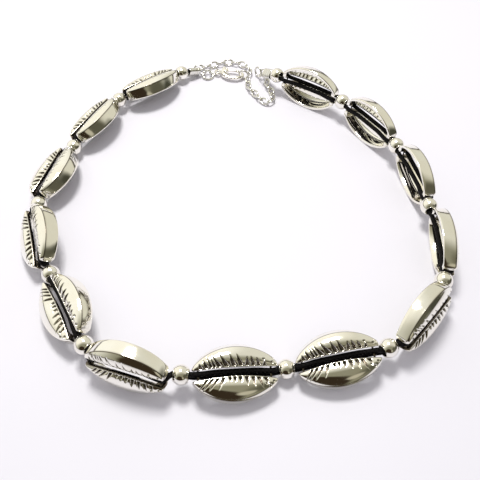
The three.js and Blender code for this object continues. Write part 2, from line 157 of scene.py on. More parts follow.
zones = TENT
for zone in ZONES.values():
    zones = patch(zones, *zone)
height = node(sky, "ShaderNodeSeparateXYZ", {0: direction}).outputs["Z"]
zones = mix(sky, between(sky, height, 0.10, 0.03), zones, BELOW_TABLE)
path = node(sky, "ShaderNodeLightPath").outputs
zones = mix(sky, path["Is Diffuse Ray"], zones, TABLE_SKY)
zones = mix(sky, path["Is Camera Ray"], zones, BACKDROP)
light = node(sky, "ShaderNodeBackground", {"Color": zones, "Strength": 1.0})
node(sky, "ShaderNodeOutputWorld", {"Surface": light.outputs[0]})
scene.view_settings.view_transform = "Standard"
print("studio world has", len(sky.nodes), "nodes for", len(ZONES), "zones")

# %% [markdown]
# ## The lamp
# One small soft lamp, high behind the table, gives each piece a compact shadow that falls forward.

# %% Lamp high behind the table
lamp = bpy.data.objects.new("soft_lamp", bpy.data.lights.new("soft_lamp", "AREA"))
scene.collection.objects.link(lamp)
lamp.location = (-0.03, 0.13, 0.45)
lamp.rotation_euler = (-lamp.location).to_track_quat("-Z", "Y").to_euler()
lamp.data.size = 0.12
lamp.data.energy = 1.65
lamp.data.color = (1.0, 0.99, 0.97)
print("lamp", lamp.data.size, "m wide")

# %% [markdown]
# ## The table
# A matt white board with a trace of lavender. Very slow noise keeps it from being one flat colour.

# %% Table top
table_mesh = bpy.data.meshes.new("table_top")
reach = 3.0
table_mesh.from_pydata([(-reach, -reach, 0), (reach, -reach, 0), (reach, reach, 0), (-reach, reach, 0)],
                       [], [(0, 1, 2, 3)])
table = bpy.data.objects.new("table_top", table_mesh)
scene.collection.objects.link(table)
board, tree = new_material("white_board")
place = node(tree, "ShaderNodeTexCoord").outputs["Object"]
cloud = node(tree, "ShaderNodeTexNoise", {"Vector": place, "Scale": 9.0, "Detail": 3.0})
tint = mix(tree, cloud.outputs["Fac"], (0.81, 0.795, 0.835), (0.83, 0.82, 0.855))
shader = node(tree, "ShaderNodeBsdfPrincipled", {"Base Color": tint, "Roughness": 0.6})
node(tree, "ShaderNodeOutputMaterial", {0: shader.outputs[0]})
table_mesh.materials.append(board)
print("table is", 2 * reach, "m wide")

# %% [markdown]
# ## Surfaces from arrays
# Every metal piece here is a closed skin: rows of points, each row closed on itself. The rows either
# close on themselves too, as in a ring, or end in a fan of triangles round a pole. Face corners also
# get a place along and round the skin, so a braid can follow it. If the enclosed volume comes out
# negative, the faces look inward, and they are turned.

# %% Closed skins and pieces
def skin(rows, ring=False, along=None, shade_and_oxide_mask=None):
    """A closed skin through rows[row, column, xyz]: vertices, quads, triangles, places and the mask of oxide
    and painted shade.
    """
    count, columns = rows.shape[:2]
    row, column = np.meshgrid(np.arange(count if ring else count - 1), np.arange(columns), indexing="ij")
    steps = np.array([[0, 0], [0, 1], [1, 1], [1, 0]])
    corner_row = row[..., None] + steps[:, 0]
    corner_column = column[..., None] + steps[:, 1]
    quads = (corner_row % count * columns + corner_column % columns).reshape(-1, 4)
    along = np.arange(count + 1.0) if along is None else np.append(along, along[-1])
    quad_places = np.stack([along[corner_row], corner_column / columns], -1).reshape(-1, 4, 2)
    vertices = rows.reshape(-1, 3)
    shade_and_oxide_mask = np.zeros(len(vertices)) if shade_and_oxide_mask is None else shade_and_oxide_mask.reshape(-1)
    fans = np.empty((0, 3), int)
    if not ring:
        here = np.arange(columns)
        there = (here + 1) % columns
        last_row = (count - 1) * columns
        poles = np.full((2, columns), len(vertices)) + [[0], [1]]
        fans = np.vstack([np.stack([poles[0], there, here], -1),
                          np.stack([poles[1], last_row + here, last_row + there], -1)])
        vertices = np.vstack([vertices, rows[[0, -1]].mean(axis=1)])
        shade_and_oxide_mask = np.append(shade_and_oxide_mask, [shade_and_oxide_mask[0], shade_and_oxide_mask[-1]])
    fan_places = np.zeros((len(fans), 3, 2))
    triangles = np.vstack([quads[:, [0, 1, 2]], quads[:, [0, 2, 3]], fans])
    a, b, c = vertices[triangles].transpose(1, 0, 2)
    if np.einsum("ij,ij->", a, np.cross(b, c)) < 0:
        quads, fans = quads[:, ::-1], fans[:, ::-1]
        quad_places = quad_places[:, ::-1]
    return {"vertices": vertices, "quads": quads, "fans": fans, "shade_and_oxide_mask": shade_and_oxide_mask,
            "places": (quad_places, fan_places)}


def add_piece(name, skins, material, replaced, body="choker"):
    """Joins skins, in millimetres, into one smooth object that rides on a body and replaces CAD nodes."""
    starts = np.cumsum([0] + [len(part["vertices"]) for part in skins])
    quads = np.vstack([part["quads"] + start for part, start in zip(skins, starts)])
    fans = np.vstack([part["fans"] + start for part, start in zip(skins, starts)])
    mesh = bpy.data.meshes.new(name)
    vertices = np.vstack([part["vertices"] for part in skins]) * MM
    mesh.from_pydata(vertices, [], quads.tolist() + fans.tolist())
    places = [part["places"][kind].reshape(-1, 2) for kind in (0, 1) for part in skins]
    mesh.uv_layers.new(name="along").data.foreach_set("uv", np.vstack(places).ravel())
    # a mask per point that darkens the metal: partly oxide in the pits, partly painted shade
    shade_and_oxide_mask = mesh.attributes.new("shade_and_oxide_mask", "FLOAT", "POINT")
    shade_and_oxide_mask.data.foreach_set("value", np.concatenate([part["shade_and_oxide_mask"] for part in skins]))
    mesh.shade_smooth()
    mesh.materials.append(material)
    piece = bpy.data.objects.new(name, mesh)
    scene.collection.objects.link(piece)
    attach(piece, body)
    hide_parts(*replaced)
    return piece

# %% [markdown]
# ## The cast finish and its painted shade
# The shells, beads and clasp share one effect: plated casting metal that is slightly uneven in gloss,
# faintly rippled from the mould, and darkened where a mask on its points says so. On the shells that
# darkening is partly oxide in the tooth pits and partly painted shade: in the pits, round the slit's
# rim, along the crease and over the bars. It is a node group, so each metal uses it with its own
# colours and scale. The group only gives a colour, a roughness and a height. The shader itself stays
# in each material.

# %% Node group: cast finish and painted shade
cast = bpy.data.node_groups.new("cast_finish_and_shade", "ShaderNodeTree")
for name, kind, value in (("Metal", "NodeSocketColor", (0.93, 0.91, 0.86, 1)),
                          ("Oxide And Shade", "NodeSocketColor", (0.1, 0.08, 0.06, 1)),
                          ("Oxide And Shade Depth", "NodeSocketFloat", 1.0),
                          ("Ripple Scale", "NodeSocketFloat", 300.0),
                          ("Gloss Low", "NodeSocketFloat", 0.05),
                          ("Gloss High", "NodeSocketFloat", 0.15)):
    socket = cast.interface.new_socket(name, in_out="INPUT", socket_type=kind)
    socket.default_value = value
for name, kind in (("Color", "NodeSocketColor"), ("Roughness", "NodeSocketFloat"),
                   ("Height", "NodeSocketFloat")):
    cast.interface.new_socket(name, in_out="OUTPUT", socket_type=kind)
entry = node(cast, "NodeGroupInput").outputs
place = node(cast, "ShaderNodeTexCoord").outputs["Object"]
ripple = node(cast, "ShaderNodeTexNoise", {"Vector": place, "Scale": entry["Ripple Scale"], "Detail": 2.0})
smears = node(cast, "ShaderNodeTexNoise", {"Vector": place, "Scale": 900.0, "Detail": 4.0})
# the mask pulls the colour toward the dark colour: partly oxide in hollows, partly painted shade
shade_and_oxide_mask = node(cast, "ShaderNodeAttribute", attribute_name="shade_and_oxide_mask").outputs["Fac"]
oxide_and_shade = maths(cast, "MULTIPLY", between(cast, shade_and_oxide_mask, 0.05, 0.6), entry["Oxide And Shade Depth"])
warmer = node(cast, "ShaderNodeVectorMath", {0: entry["Metal"], 1: (0.97, 0.955, 0.92)},
              operation="MULTIPLY")
uneven = between(cast, ripple.outputs["Fac"], 0.35, 0.65)
plate = node(cast, "ShaderNodeMix", {"Factor": uneven}, data_type="RGBA")
cast.links.new(entry["Metal"], plate.inputs[6])
cast.links.new(warmer.outputs["Vector"], plate.inputs[7])
colour = mix(cast, oxide_and_shade, plate.outputs[2], entry["Oxide And Shade"])
gloss = node(cast, "ShaderNodeMapRange", {"Value": smears.outputs["Fac"], "From Min": 0.35, "From Max": 0.7,
             "To Min": entry["Gloss Low"], "To Max": entry["Gloss High"]})
roughness = maths(cast, "ADD", gloss.outputs["Result"], maths(cast, "MULTIPLY", oxide_and_shade, 0.2))
node(cast, "NodeGroupOutput", {"Color": colour, "Roughness": roughness, "Height": ripple.outputs["Fac"]})


def cast_metal(name, metal, oxide_and_shade, oxide_and_shade_depth, ripple_scale, gloss, ripple_height):
    """A polished metal that wears the cast finish, painted shade included, with its own values."""
    material, tree = new_material(name)
    finish = node(tree, "ShaderNodeGroup", node_tree=cast)
    for socket, value in (("Metal", (*metal, 1)), ("Oxide And Shade", (*oxide_and_shade, 1)),
                          ("Oxide And Shade Depth", oxide_and_shade_depth), ("Ripple Scale", ripple_scale),
                          ("Gloss Low", gloss[0]), ("Gloss High", gloss[1])):
        finish.inputs[socket].default_value = value
    bump = node(tree, "ShaderNodeBump", {"Height": finish.outputs["Height"], "Strength": 1.0,
                "Distance": ripple_height * MM})
    shader = node(tree, "ShaderNodeBsdfPrincipled", {"Base Color": finish.outputs["Color"], "Metallic": 1.0,
                  "Roughness": finish.outputs["Roughness"], "Normal": bump.outputs["Normal"]})
    node(tree, "ShaderNodeOutputMaterial", {0: shader.outputs[0]})
    return material


# the shells' dark colour serves both the oxide in their pits and their painted shade
shell_silver = cast_metal("shell_silver", metal=(0.95, 0.93, 0.87), oxide_and_shade=(0.10, 0.075, 0.05),
                          oxide_and_shade_depth=0.92, ripple_scale=160.0, gloss=(0.04, 0.12), ripple_height=0.03)
bead_silver = cast_metal("bead_silver", metal=(0.95, 0.93, 0.88), oxide_and_shade=(0.25, 0.22, 0.18),
                         oxide_and_shade_depth=0.5, ripple_scale=300.0, gloss=(0.03, 0.09), ripple_height=0.01)
wire_silver = cast_metal("wire_silver", metal=(0.76, 0.755, 0.72), oxide_and_shade=(0.35, 0.33, 0.30),
                         oxide_and_shade_depth=0.5, ripple_scale=700.0, gloss=(0.08, 0.18), ripple_height=0.01)
print("metals:", shell_silver.name, bead_silver.name, wire_silver.name)

# %% [markdown]
# ## Where the pieces lie
# The spacer beads mark out the loop, and each shell hangs midway between two of them, rolled about
# the cords: face outward at 0 degrees, face up at 90. The same table of bead centres and rolls places
# the CAD nodes. Directions are worked out for all shells at once.

# %% Bead centres and shell directions
BEADS = np.array([[-17.9, 53.7, 3.2], [-37.2, 38.9, 4.0], [-48.5, 17.4, 3.7], [-54.2, -6.2, 4.6],
                  [-46.6, -29.3, 4.2], [-34.4, -50.3, 5.9], [-11.3, -57.7, 5.8], [12.8, -55.1, 3.2],
                  [36.7, -51.0, 5.9], [52.9, -33.0, 6.7], [53.9, -8.7, 6.8], [48.6, 15.0, 6.7],
                  [34.6, 34.9, 6.6], [14.4, 48.4, 6.4]])
ROLLS = np.radians([64, 60, 64, 45, 58, 15, 66, 66, 15, 3, 0, -6, -9])[:, None]
SLIPS = np.array([-0.5, 0.25, 0.5, 0.7, 0, 1.8, 0.5, 0.3, 1.2, 1.0, 0.3, 0, -0.2])[:, None]
UP = np.array([0.0, 0.0, 1.0])


def unit(vectors):
    """Each vector divided by its length."""
    return vectors / np.linalg.norm(vectors, axis=-1, keepdims=True)


shell_along = unit(BEADS[1:] - BEADS[:-1])
outward = unit(np.cross(shell_along, UP))
upright = np.cross(outward, shell_along)
shell_face = outward * np.cos(ROLLS) + upright * np.sin(ROLLS)
shell_across = np.cross(shell_face, shell_along)
shell_origin = (BEADS[1:] + BEADS[:-1]) / 2 + outward * SLIPS
spacing = np.linalg.norm(BEADS[1:] - BEADS[:-1], axis=1).mean()
print(len(BEADS), "beads", round(float(spacing), 1), "mm apart")

# %% [markdown]
# ## The cowrie's outline
# A cast cowrie is an open-backed shell: an oval dish turned upside down, with a slit along its top.
# Seen from above it is an oval whose tips are cut off. Its half-width is a power of a circle's, and
# the slit between the lips widens toward the tips.

# %% Outline of the shell
HALF = 19.7 / 2
BACK_HALF_WIDTH, EDGE_HALF_WIDTH = 6.75, 6.05
BACK_Z, EDGE_Z, TIP_FALL = -1.0, 2.5, 0.4
CROWN, WALL, RIDGE = 1.1, 1.0, 0.42


def oval(x):
    """Half-width at x as a share of the widest: (1 - (x / 10.6) squared) to a power, rounder to the left."""
    return (1 - (x / 10.6) ** 2) ** np.where(x < 0, 0.68, 0.58)


def slit_edge(x, side):
    """Distance of a lip's inner edge from the middle: 0.9 mm, more toward the tips. The slit lies off the
    middle, and bows back past it at both tips."""
    share = (x / HALF) ** 2
    return 0.92 + np.where(x < 0, 0.2, 0.38) * share + side * (0.55 - 0.75 * share)


bend = 1.2
station = np.linspace(-1, 1, 211)
shell_x = (HALF * np.sin(bend * station) / np.sin(bend))[:, None]
print("shell", 2 * HALF, "mm long,", 2 * BACK_HALF_WIDTH, "mm wide,", len(station), "stations")

# %% [markdown]
# ## The teeth
# Both lips of a cowrie are toothed. On the casting the gaps between the teeth are pits: each starts
# just outside a thin smooth rim at the slit, is deepest near it, and runs out to a point. The two
# lips differ, so each has its own table, with a row for each pit: where it starts along the shell,
# how far out it reaches, and how much it slants. The teeth are what is left standing between them.
# Round dimples mark the last places, near the tips.

# %% Tooth gaps
UPPER_PITS = np.array([[-7.8, 1.5, -0.28], [-6.4, 2.5, -0.43], [-5.3, 2.8, -0.45], [-4.5, 2.7, -0.5],
                       [-3.4, 2.9, -0.65], [-1.8, 3.2, -0.6], [-0.3, 3.0, -0.35], [1.3, 3.0, -0.37],
                       [2.6, 2.3, 0.0], [4.1, 2.3, -0.27], [5.4, 2.0, -0.3], [6.6, 1.2, 0.0]])
LOWER_PITS = np.array([[-6.3, 2.4, -0.97], [-5.1, 2.6, -0.97], [-3.85, 3.0, -0.87], [-2.7, 3.0, -0.47],
                       [-1.4, 1.2, 0.0], [-0.3, 1.4, 0.0], [0.93, 1.6, 0.0], [2.34, 2.2, 0.06],
                       [3.75, 2.6, 0.2], [4.97, 2.8, 0.43], [6.5, 1.6, 0.5]])
DIMPLES = {1: ((6.4, 1.6), (8.4, 1.0)), -1: ((8.6, 0.8), (6.9, 1.5), (7.7, 1.9))}
RIM, TOOTH, PIT_DEPTH = 0.22, 0.30, 0.7
DIMPLE_RADIUS, DIMPLE_DEPTH = 0.38, 0.3


def smooth(value):
    """0 below 0, 1 above 1, and an S-shaped curve between."""
    value = np.clip(value, 0, 1)
    return value * value * (3 - 2 * value)


def pit_depth(x, outside, side):
    """Depth of the pits at x, a distance outside the slit's edge. A pit is a slanting wedge: its width
    falls to nothing at its outer end, and its floor rises there and at the rim."""
    pits = UPPER_PITS if side > 0 else LOWER_PITS
    pitch = np.gradient(pits[:, 0])
    depth = np.zeros(np.broadcast(x, outside).shape)
    for (start, length, slant), room in zip(pits, pitch):
        out = (outside - RIM) / (length - RIM)
        half_width = (room - TOOTH) / 2 * np.clip(1 - out, 1e-3, 1) ** 0.6
        beside = np.abs(x - start - slant * outside) / half_width
        floor = smooth(out / 0.15 + 0.15) * np.clip(1 - out, 0, 1) ** 0.7
        depth = np.maximum(depth, PIT_DEPTH * floor * smooth(1.7 * (1 - beside)))
    for centre, distance in DIMPLES[side]:
        apart = np.hypot(x - centre, outside - distance) / DIMPLE_RADIUS
        depth = np.maximum(depth, DIMPLE_DEPTH * smooth(1.4 * (1 - apart)))
    return depth


print(len(UPPER_PITS), "gaps on the upper lip,", len(LOWER_PITS), "on the lower")

# %% [markdown]
# ## One lip of the shell
# Each half of the shell is a skin whose rows are cross-sections: round the slit's edge, over the
# toothed lip, down the flat side wall, round the open back's rim, up the inside and back along the
# underside. Toward the tips the hollow fills up, and the last half millimetre shrinks to a pole, so
# the tip is rounded.

# %% Half a shell
def lip_rise(t):
    """Height of the lip from its edge (0) to its ridge (1), by the share t from slit to outer edge:
    it climbs gently from the slit to the ridge, then rolls off over a shoulder to the wall."""
    inner = 1 - 0.75 * np.clip((RIDGE - t) / RIDGE, 0, 1) ** 1.7
    outer = 1 - np.clip((t - RIDGE) / (1 - RIDGE), 0, 1) ** 2
    return np.where(t < RIDGE, inner, outer)


def arc(points, first, last):
    """Angles for a rounded corner, in radians, without the last one."""
    return np.radians(np.linspace(first, last, points, endpoint=False))


def curve(step, first, middle, last):
    """A quadratic Bezier curve: first where step is 0, last where it is 1, pulled toward middle."""
    return (1 - step) ** 2 * first + 2 * step * (1 - step) * middle + step ** 2 * last


ROUND, CREASE, LEDGE = 0.3, 0.1, 0.05  # the slit's rounded edge, and the crease where lip meets wall
UNDERSIDE, UNDER_PITS = 0.95, 0.4  # the lip's thickness, and how far its pits show underneath
FILLED_FROM, FILLED_TO, TIP_ROUND = 7.6, 8.5, 0.55


def half_shell(side):
    """Rows of one lip in the shell's own frame, x along the cords and z out of the face."""
    x, share = shell_x, oval(shell_x)
    slit = slit_edge(x, side)
    edge, back = EDGE_HALF_WIDTH * share, BACK_HALF_WIDTH * share
    edge_z = EDGE_Z - TIP_FALL * (x / HALF) ** 2
    width = edge - slit
    wall = np.minimum(WALL, 0.45 * (back - slit))
    rim = np.minimum(ROUND, 0.3 * width)
    crease = np.minimum(CREASE, 0.15 * width)

    share_out = np.concatenate([np.linspace(0, 0.62, 27), np.linspace(0.62, 1, 11)[1:]])
    t = rim / width + (1 - (rim + crease) / width) * share_out
    top_z = edge_z + CROWN * share * lip_rise(t)
    pits = pit_depth(x, t * width, side)
    turn = arc(4, 0, 90)
    rim_w = slit + rim * (1 - np.cos(turn))
    rim_z = top_z[:, :1] - rim * (1 - np.sin(turn))

    step = np.array([0.3, 0.6, 1.0])
    wall_top = edge_z - 0.2
    crease_w = curve(step, edge - crease, edge + 0.03, edge + LEDGE)
    crease_z = curve(step, top_z[:, -1:], edge_z + 0.06, wall_top)
    down = np.linspace(0, 1, 7)[1:]
    corner = 0.3 * wall
    wall_w = edge + LEDGE + (back - edge - LEDGE) * down + 0.05 * np.sin(np.pi * down)
    wall_z = wall_top + (BACK_Z + corner - wall_top) * down

    turn = arc(3, 30, 90)
    foot_w = np.hstack([back - corner * (1 - np.cos(turn)), back - corner, back - wall + corner,
                        back - wall + corner * (1 - np.sin(turn))])
    foot_z = np.hstack([BACK_Z + corner * (1 - np.sin(turn)), BACK_Z + 0 * back, BACK_Z + 0 * back,
                        BACK_Z + corner * (1 - np.cos(turn))])
    rise = np.linspace(0, 1, 4)[1:]
    inside_w = back - wall + (edge - back) * rise
    inside_z = BACK_Z + 0.3 + (edge_z - 0.4 - BACK_Z - 0.3) * rise
    under = np.linspace(1, 0.02, 9)[1:]
    under_w = slit + (edge - wall - slit) * under
    under_z = edge_z + CROWN * share * lip_rise((under_w - slit) / width) - UNDERSIDE
    under_z = under_z - UNDER_PITS * pit_depth(x, under_w - slit, side)
    filled = smooth((np.abs(x) - FILLED_FROM) / (FILLED_TO - FILLED_FROM))
    inside_z, under_z = (z + (BACK_Z - z) * filled for z in (inside_z, under_z))

    across = np.hstack([rim_w, slit + t * width, crease_w, wall_w, foot_w, inside_w, under_w])
    z = np.hstack([rim_z, top_z - pits, crease_z, wall_z, foot_z, inside_z, under_z])
    shade_and_oxide_mask = np.zeros_like(z)
    first, last = rim_w.shape[1], rim_w.shape[1] + t.shape[1]
    # painted shade: the slit's rounded rim is darkened so the slit reads black, with a little oxide
    shade_and_oxide_mask[:, :3] = [1.0, 0.8, 0.3]
    # the pits are darkened by their depth: partly oxide in the hollows, partly painted shade
    shade_and_oxide_mask[:, first:last] = pits / PIT_DEPTH
    # painted shade: a dark line painted along the crease where lip meets wall
    shade_and_oxide_mask[:, last:last + 3] = [0.55, 0.7, 0.25]

    tip = np.clip((np.abs(x) - HALF + TIP_ROUND) / TIP_ROUND, 0, 1)
    shrink = np.sqrt(1 - np.minimum(tip, 0.999) ** 2)
    middle = [(slit + back) / 2, (BACK_Z + edge_z + CROWN * share) / 2]
    across = middle[0] + (across - middle[0]) * shrink
    z = middle[1] + (z - middle[1]) * shrink
    return np.stack([x + 0 * z, side * across, z], -1), shade_and_oxide_mask


lips = [half_shell(side) for side in (1, -1)]
print("each lip has", lips[0][0].shape[0] * lips[0][0].shape[1], "points")

# %% [markdown]
# ## Bridges, and placing the shells
# The two lips are one casting: a thin bar joins them near each tip, between the two cords, so one cord
# passes before it and one behind. A shell that would sink into the table is lifted until it stands
# on it, by the same rule as the CAD node.

# %% Shells
def bridge(centre):
    """A rounded bar from lip to lip: an ellipse carried across the slit."""
    turn = arc(12, 0, 360)
    across = np.linspace(-1.7, 1.7, 9)[:, None]
    return np.stack([centre + 0.25 * np.cos(turn) + 0 * across, across + 0 * turn,
                     0.5 + 0.2 * np.sin(turn) + 0 * across], -1)


bars = [bridge(centre) for centre in (-8.4, 8.4)]
# painted shade: the bars are darkened all over, as if lost in the shade inside the slit
shell_parts = lips + [(bar, np.ones(bar.shape[:2])) for bar in bars]
for i, origin in enumerate(shell_origin):
    axes = np.stack([shell_along[i], shell_across[i], shell_face[i]])
    lowest = min((rows @ axes)[..., 2].min() for rows, _ in shell_parts) + origin[2]
    origin[2] += max(0, -lowest)
    skins = [skin(rows @ axes + origin, shade_and_oxide_mask=shade_and_oxide_mask) for rows, shade_and_oxide_mask in shell_parts]
    name = f"cowrie_{i + 1:02d}"
    add_piece(name.replace("cowrie", "cast_cowrie"), skins, shell_silver, [name])
    points = np.vstack([part["vertices"] for part in skins])
    drift = np.abs(np.array(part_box(name)) / MM - [points.min(0), points.max(0)]).max()
    print(name, "stands within", round(float(drift), 2), "mm of its CAD box")

# %% [markdown]
# ## Spacer beads
# Each bead is a ball with a wide hole and a thin raised collar round each end of it. It is turned on
# a lathe, so it is a profile carried round an axis. Its axis follows the cords, halfway between the
# directions of its two neighbours.

# %% Beads
END_LEFT = np.array([[-15.64, 54.69, 2.7], [-12.04, 56.59, 1.6]])
END_RIGHT = np.array([[12.81, 50.24, 5.35], [10.31, 53.19, 3.65]])
BALL, BEAD_HALF, HOLE = 2.36, 1.75, 1.45
before = np.vstack([unit(END_LEFT[0] - END_LEFT[1]), shell_along])
after = np.vstack([shell_along, unit(END_RIGHT[1] - END_RIGHT[0])])
bead_along = unit(before + after)
lean = shell_face + shell_across
bead_split = np.vstack([lean[:1], lean]) + np.vstack([lean, lean[-1:]])
bead_split = unit(bead_split - bead_along * np.sum(bead_split * bead_along, axis=1, keepdims=True))

open_angle = np.degrees(np.arccos(1.62 / BALL))
latitude = np.radians(np.linspace(-open_angle, open_angle, 31))
collar = arc(7, -70, 200)
bead_radius = np.concatenate([BALL * np.cos(latitude), 1.58 + 0.13 * np.cos(collar), np.full(5, HOLE),
                              1.58 + 0.13 * np.cos(collar[::-1])])
bead_x = np.concatenate([BALL * np.sin(latitude), BEAD_HALF - 0.1 + 0.13 * np.sin(collar),
                         np.linspace(BEAD_HALF - 0.2, 0.2 - BEAD_HALF, 5),
                         0.1 - BEAD_HALF - 0.13 * np.sin(collar[::-1])])
turn = arc(48, 0, 360)[:, None]
for i, (centre, axis, split) in enumerate(zip(BEADS, bead_along, bead_split)):
    third = np.cross(axis, split)
    rows = (centre + bead_x[:, None] * axis + (bead_radius * np.cos(turn))[..., None] * split
            + (bead_radius * np.sin(turn))[..., None] * third)
    add_piece(f"turned_bead_{i + 1:02d}", [skin(rows, ring=True)], bead_silver, [f"spacer_{i + 1:02d}"])
print(len(BEADS), "beads,", rows.shape[0] * rows.shape[1] * 2, "triangles each")

# %% [markdown]
# ## The two cords
# Two braided cords run side by side through every bead. At each tip of a shell one passes before the
# bar and one behind it, and in its hollow both lie under the middle of the slit. A cord is a round
# section carried along a smoothed line of points, and the places along and round it drive the braid
# of its material.

# %% Black braided cord
cord_black, tree = new_material("black_braid")
places = node(tree, "ShaderNodeUVMap", uv_map="along").outputs["UV"]
split_uv = node(tree, "ShaderNodeSeparateXYZ", {0: places}).outputs
BRAID_REPEAT, BRAID_STRANDS = 0.9, 4
turns = maths(tree, "MULTIPLY", split_uv["Y"], BRAID_STRANDS * 2 * np.pi)
travel = maths(tree, "MULTIPLY", split_uv["X"], 2 * np.pi / BRAID_REPEAT)
rising = maths(tree, "SINE", maths(tree, "ADD", turns, travel))
falling = maths(tree, "SINE", maths(tree, "SUBTRACT", turns, travel))
strands = maths(tree, "MAXIMUM", rising, falling)
place = node(tree, "ShaderNodeTexCoord").outputs["Object"]
fuzz = node(tree, "ShaderNodeTexNoise", {"Vector": place, "Scale": 4000.0, "Detail": 3.0})
weave = maths(tree, "ADD", strands, maths(tree, "MULTIPLY", fuzz.outputs["Fac"], 0.8))
tone = mix(tree, between(tree, weave, -0.4, 1.4), (0.001, 0.001, 0.001), (0.007, 0.006, 0.006))
bump = node(tree, "ShaderNodeBump", {"Height": weave, "Strength": 0.6, "Distance": 0.06 * MM})
dull = between(tree, fuzz.outputs["Fac"], 0.3, 0.7, 0.5, 0.75)
shader = node(tree, "ShaderNodeBsdfPrincipled", {"Base Color": tone, "Roughness": dull,
              "Normal": bump.outputs["Normal"], "Specular IOR Level": 0.1})
node(tree, "ShaderNodeOutputMaterial", {0: shader.outputs[0]})
print("braid repeats every", BRAID_REPEAT, "mm")


def tube(line, radius, sides=16):
    """A round section carried along a line of points that never stands upright."""
    tangent = unit(np.gradient(line, axis=0))
    beside = unit(np.cross(tangent, UP))
    above = np.cross(beside, tangent)
    turn = arc(sides, 0, 360)[:, None]
    rows = (line[:, None] + radius * (np.cos(turn) * beside[:, None] + np.sin(turn) * above[:, None]))
    length = np.concatenate([[0], np.cumsum(np.linalg.norm(np.diff(line, axis=0), axis=1))])
    return skin(rows, along=length)


def smooth_line(points, step, spread):
    """points joined by straight lines, sampled every step, then averaged with a bell curve of that
    spread, with both ends kept."""
    points = np.array(points)
    length = np.concatenate([[0], np.cumsum(np.linalg.norm(np.diff(points, axis=0), axis=1))])
    sample = np.linspace(0, length[-1], int(length[-1] / step))
    line = np.stack([np.interp(sample, length, points[:, k]) for k in range(3)], -1)
    reach = int(3 * spread / step)
    bell = np.exp(-0.5 * (np.arange(-reach, reach + 1) * step / spread) ** 2)
    padded = np.vstack([np.repeat(line[:1], reach, 0), line, np.repeat(line[-1:], reach, 0)])
    return np.stack([np.convolve(padded[:, k], bell / bell.sum(), "valid") for k in range(3)], -1)


CORD_RADIUS, HALF_PITCH = 0.62, 0.66


def cord_route(side, bridge_z, hollow_z):
    """Points of one cord, from inside the left cord end to inside the right one."""
    offset = side * HALF_PITCH * bead_split
    in_ends = []
    for mouth, closed, split in ((*END_LEFT, bead_split[0]), (*END_RIGHT, bead_split[-1])):
        axis = unit(closed - mouth)
        sideways = unit(split - axis * np.dot(split, axis))
        in_ends.append([mouth + axis * depth + side * HALF_PITCH * sideways for depth in (0, 3.0)])
    line = in_ends[0][::-1]
    for i, (centre, axis) in enumerate(zip(BEADS, bead_along)):
        line += [centre - BEAD_HALF * axis + offset[i], centre + BEAD_HALF * axis + offset[i]]
        if i < len(shell_origin):
            passing = [(9.25, side * 0.3, bridge_z), (8.0, side * 0.3, bridge_z),
                       (4.5, side * 0.35 + 0.22, hollow_z)]
            stops = [(-x, y, z) for x, y, z in passing] + passing[::-1]
            line += [shell_origin[i] + x * shell_along[i] + y * shell_across[i] + z * shell_face[i]
                     for x, y, z in stops]
    return line + in_ends[1]


for name, side, bridge_z, hollow_z in (("cord_strand_back", -1, -0.55, -0.1),
                                       ("cord_strand_face", 1, 1.6, 1.35)):
    line = smooth_line(cord_route(side, bridge_z, hollow_z), 0.3, 0.45)
    add_piece("braided_" + name, [tube(line, CORD_RADIUS)], cord_black, [name])
    print(name, round(float(np.linalg.norm(np.diff(line, axis=0), axis=1).sum())), "mm long")

# %% [markdown]
# ## Cord ends
# Each pair of cords is gripped in a small flattened tube, folded over them, with ribs pressed into it
# and a loop at its closed end. One skin runs from the bottom of its bore out to the mouth, back over
# the outside and round the closed end.

# %% Cord ends and rings
def ring(centre, first, second, radius, wire, gap=0.0, flat=1.0):
    """A round wire bent to a circle in the plane of first and second. gap is an opening in degrees,
    and flat the wire's thickness out of the plane as a share of its thickness in it."""
    turn = np.radians(np.linspace(gap / 2, 360 - gap / 2, 49)) if gap else arc(48, 0, 360)
    third = unit(np.cross(first, second))
    spoke = np.cos(turn)[:, None] * unit(first) + np.sin(turn)[:, None] * np.cross(third, unit(first))
    round_wire = arc(14, 0, 360)[:, None]
    rows = (centre + radius * spoke[:, None] + wire * np.cos(round_wire) * spoke[:, None]
            + flat * wire * np.sin(round_wire) * third)
    return skin(rows, ring=not gap)


def squarish(turn, power):
    """Cosine and sine raised to a power with their signs kept: below 1, a circle turns squarish."""
    return [np.sign(value) * np.abs(value) ** power for value in (np.cos(turn), np.sin(turn))]


TUBE_HALF_WIDTH, TUBE_HALF_HEIGHT, TUBE_LENGTH = 1.7, 1.05, 4.2
END_LOOP_RADIUS, END_LOOP_WIRE = 1.2, 0.22


